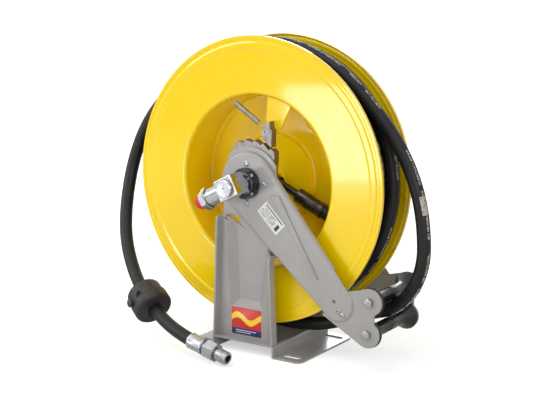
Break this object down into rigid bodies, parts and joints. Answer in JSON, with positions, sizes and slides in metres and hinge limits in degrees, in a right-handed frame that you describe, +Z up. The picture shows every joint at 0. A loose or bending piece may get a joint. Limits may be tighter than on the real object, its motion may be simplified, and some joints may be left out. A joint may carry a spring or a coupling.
{
  "type": "fire hose reel",
  "caption": "Spring-driven fire hose reel on a slotted base: open drum with wound rubber hose, two-roller outlet on guide arms, swivel inlet with a cap and a ratchet with its pawl.",
  "frame": {"origin": "centre of the base on the floor", "axes": "+Z up, the axle along Y with the swivel at -Y, +X towards the roller outlet"},
  "size_m": [0.5731, 0.2522, 0.5044],
  "materials": {
    "grey_paint": "semi-gloss warm grey",
    "yellow_paint": "gloss yellow",
    "black_rubber": "satin black",
    "black_plastic": "glossy black",
    "red_plastic": "satin red",
    "spring_steel": "blued",
    "zinc_steel": "zinc plated"
  },
  "bodies": {
    "frame": {"base_plate": "grey_paint", "front_upright": "grey_paint", "rear_upright": "grey_paint", "front_guide_arm": "grey_paint", "rear_guide_arm": "grey_paint", "front_roller_bracket": "grey_paint", "rear_roller_bracket": "grey_paint", "upper_roller_axle": "zinc_steel", "lower_roller_axle": "zinc_steel", "front_bearing_flange": "black_plastic", "rear_bearing_flange": "black_plastic", "front_hub_screws": "zinc_steel", "rear_hub_screws": "zinc_steel", "front_bearing_screws": "zinc_steel", "rear_bearing_screws": "zinc_steel", "front_arm_bolts": "zinc_steel", "rear_arm_bolts": "zinc_steel", "ratchet_sector": "zinc_steel", "spring_arbor": "zinc_steel", "free_hose": "black_rubber", "hose_stop": "black_rubber", "hose_stop_bolt": "zinc_steel", "hose_ferrule": "zinc_steel", "hose_end_fitting": "zinc_steel"},
    "drum": {"front_flange": "yellow_paint", "rear_flange": "yellow_paint", "drum_core": "yellow_paint", "hub_shaft": "zinc_steel", "shaft_circlip": "zinc_steel", "rear_bush": "black_plastic", "spring_case_cover": "yellow_paint", "case_cover_screws": "zinc_steel", "power_spring": "spring_steel", "hose_inner_layers": "black_rubber", "wound_hose": "black_rubber", "inner_hose_tail": "black_rubber", "inner_ferrule": "zinc_steel", "feed_pipe": "zinc_steel", "pawl_bracket": "yellow_paint", "pawl_pivot_pin": "zinc_steel", "pawl_spring": "zinc_steel"},
    "pawl": {"pawl": "zinc_steel"},
    "upper_roller": {"upper_roller": "black_plastic"},
    "lower_roller": {"lower_roller": "black_plastic"},
    "swivel": {"swivel_body": "zinc_steel", "swivel_plug": "zinc_steel"},
    "inlet_cap": {"inlet_cap": "red_plastic"}
  },
  "joints": [
    {"name": "drum_spin", "type": "hinge", "parent": "frame", "child": "drum", "pos_m": [0, 0, 0.2744], "axis": [0, 1, 0], "continuous": true},
    {"name": "pawl_swing", "type": "hinge", "parent": "drum", "child": "pawl", "pos_m": [0.0272, -0.051, 0.3573], "axis": [0, 1, 0], "range_deg": [-10, 6], "stiffness_Nm_per_rad": 0.3},
    {"name": "upper_roller_spin", "type": "hinge", "parent": "frame", "child": "upper_roller", "pos_m": [0.2205, 0, 0.1129], "axis": [0, 1, 0], "continuous": true},
    {"name": "lower_roller_spin", "type": "hinge", "parent": "frame", "child": "lower_roller", "pos_m": [0.217, 0, 0.0624], "axis": [0, 1, 0], "continuous": true},
    {"name": "swivel_turn", "type": "hinge", "parent": "frame", "child": "swivel", "pos_m": [0, -0.1115, 0.2744], "axis": [0, 1, 0], "continuous": true},
    {"name": "inlet_cap_pull", "type": "slide", "parent": "swivel", "child": "inlet_cap", "axis": [-0.891, 0, -0.454], "range_m": [0, 0.03]}
  ]
}
